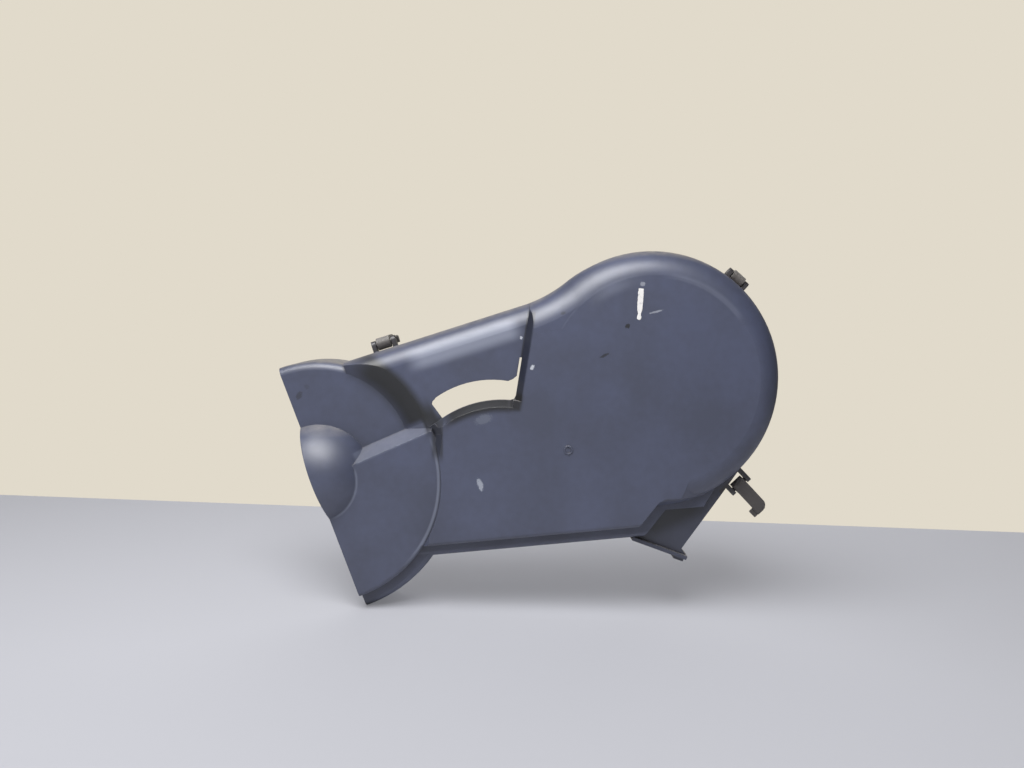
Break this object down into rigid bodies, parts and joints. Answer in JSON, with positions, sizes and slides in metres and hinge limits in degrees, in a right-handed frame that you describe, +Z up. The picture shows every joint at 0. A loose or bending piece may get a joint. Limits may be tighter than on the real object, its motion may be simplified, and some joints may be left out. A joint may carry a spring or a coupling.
{
  "type": "timing cover",
  "caption": "Moulded plastic front cover for an engine's timing belt: a deep round lobe, a stepped body with an arc slot, a cut round end with a dome, and swinging plastic clips on its wall.",
  "frame": {"origin": "centre of the round lobe, which is the camshaft wheel's axis, on the plane of the rear rim", "axes": "+Z up as in the picture, +X to the right along the face, the face looks toward -Y and the open rear rim toward +Y"},
  "size_m": [0.341, 0.062, 0.2506],
  "materials": {
    "cover_plastic": "matte moulded polypropylene, dark blue-grey, lightly scuffed",
    "clip_plastic": "matte moulded nylon, dusty black-brown"
  },
  "bodies": {
    "shell": {"cover": "cover_plastic"},
    "clip_a": {"clip_1": "clip_plastic"},
    "clip_b": {"clip_2": "clip_plastic"},
    "clip_c": {"clip_3": "clip_plastic"}
  },
  "joints": [
    {"name": "clip_1_hinge", "type": "hinge", "parent": "shell", "child": "clip_a", "pos_m": [-0.1827, -0.028, 0.01778], "axis": [0.9397, 0, 0.342], "range_deg": [0, 120]},
    {"name": "clip_2_hinge", "type": "hinge", "parent": "shell", "child": "clip_b", "pos_m": [0.05765, -0.028, 0.07119], "axis": [0.7771, 0, -0.6293], "range_deg": [0, 120]},
    {"name": "clip_3_hinge", "type": "hinge", "parent": "shell", "child": "clip_c", "pos_m": [0.06847, -0.028, -0.0715], "axis": [-0.6947, 0, -0.7193], "range_deg": [-84, 36]}
  ]
}
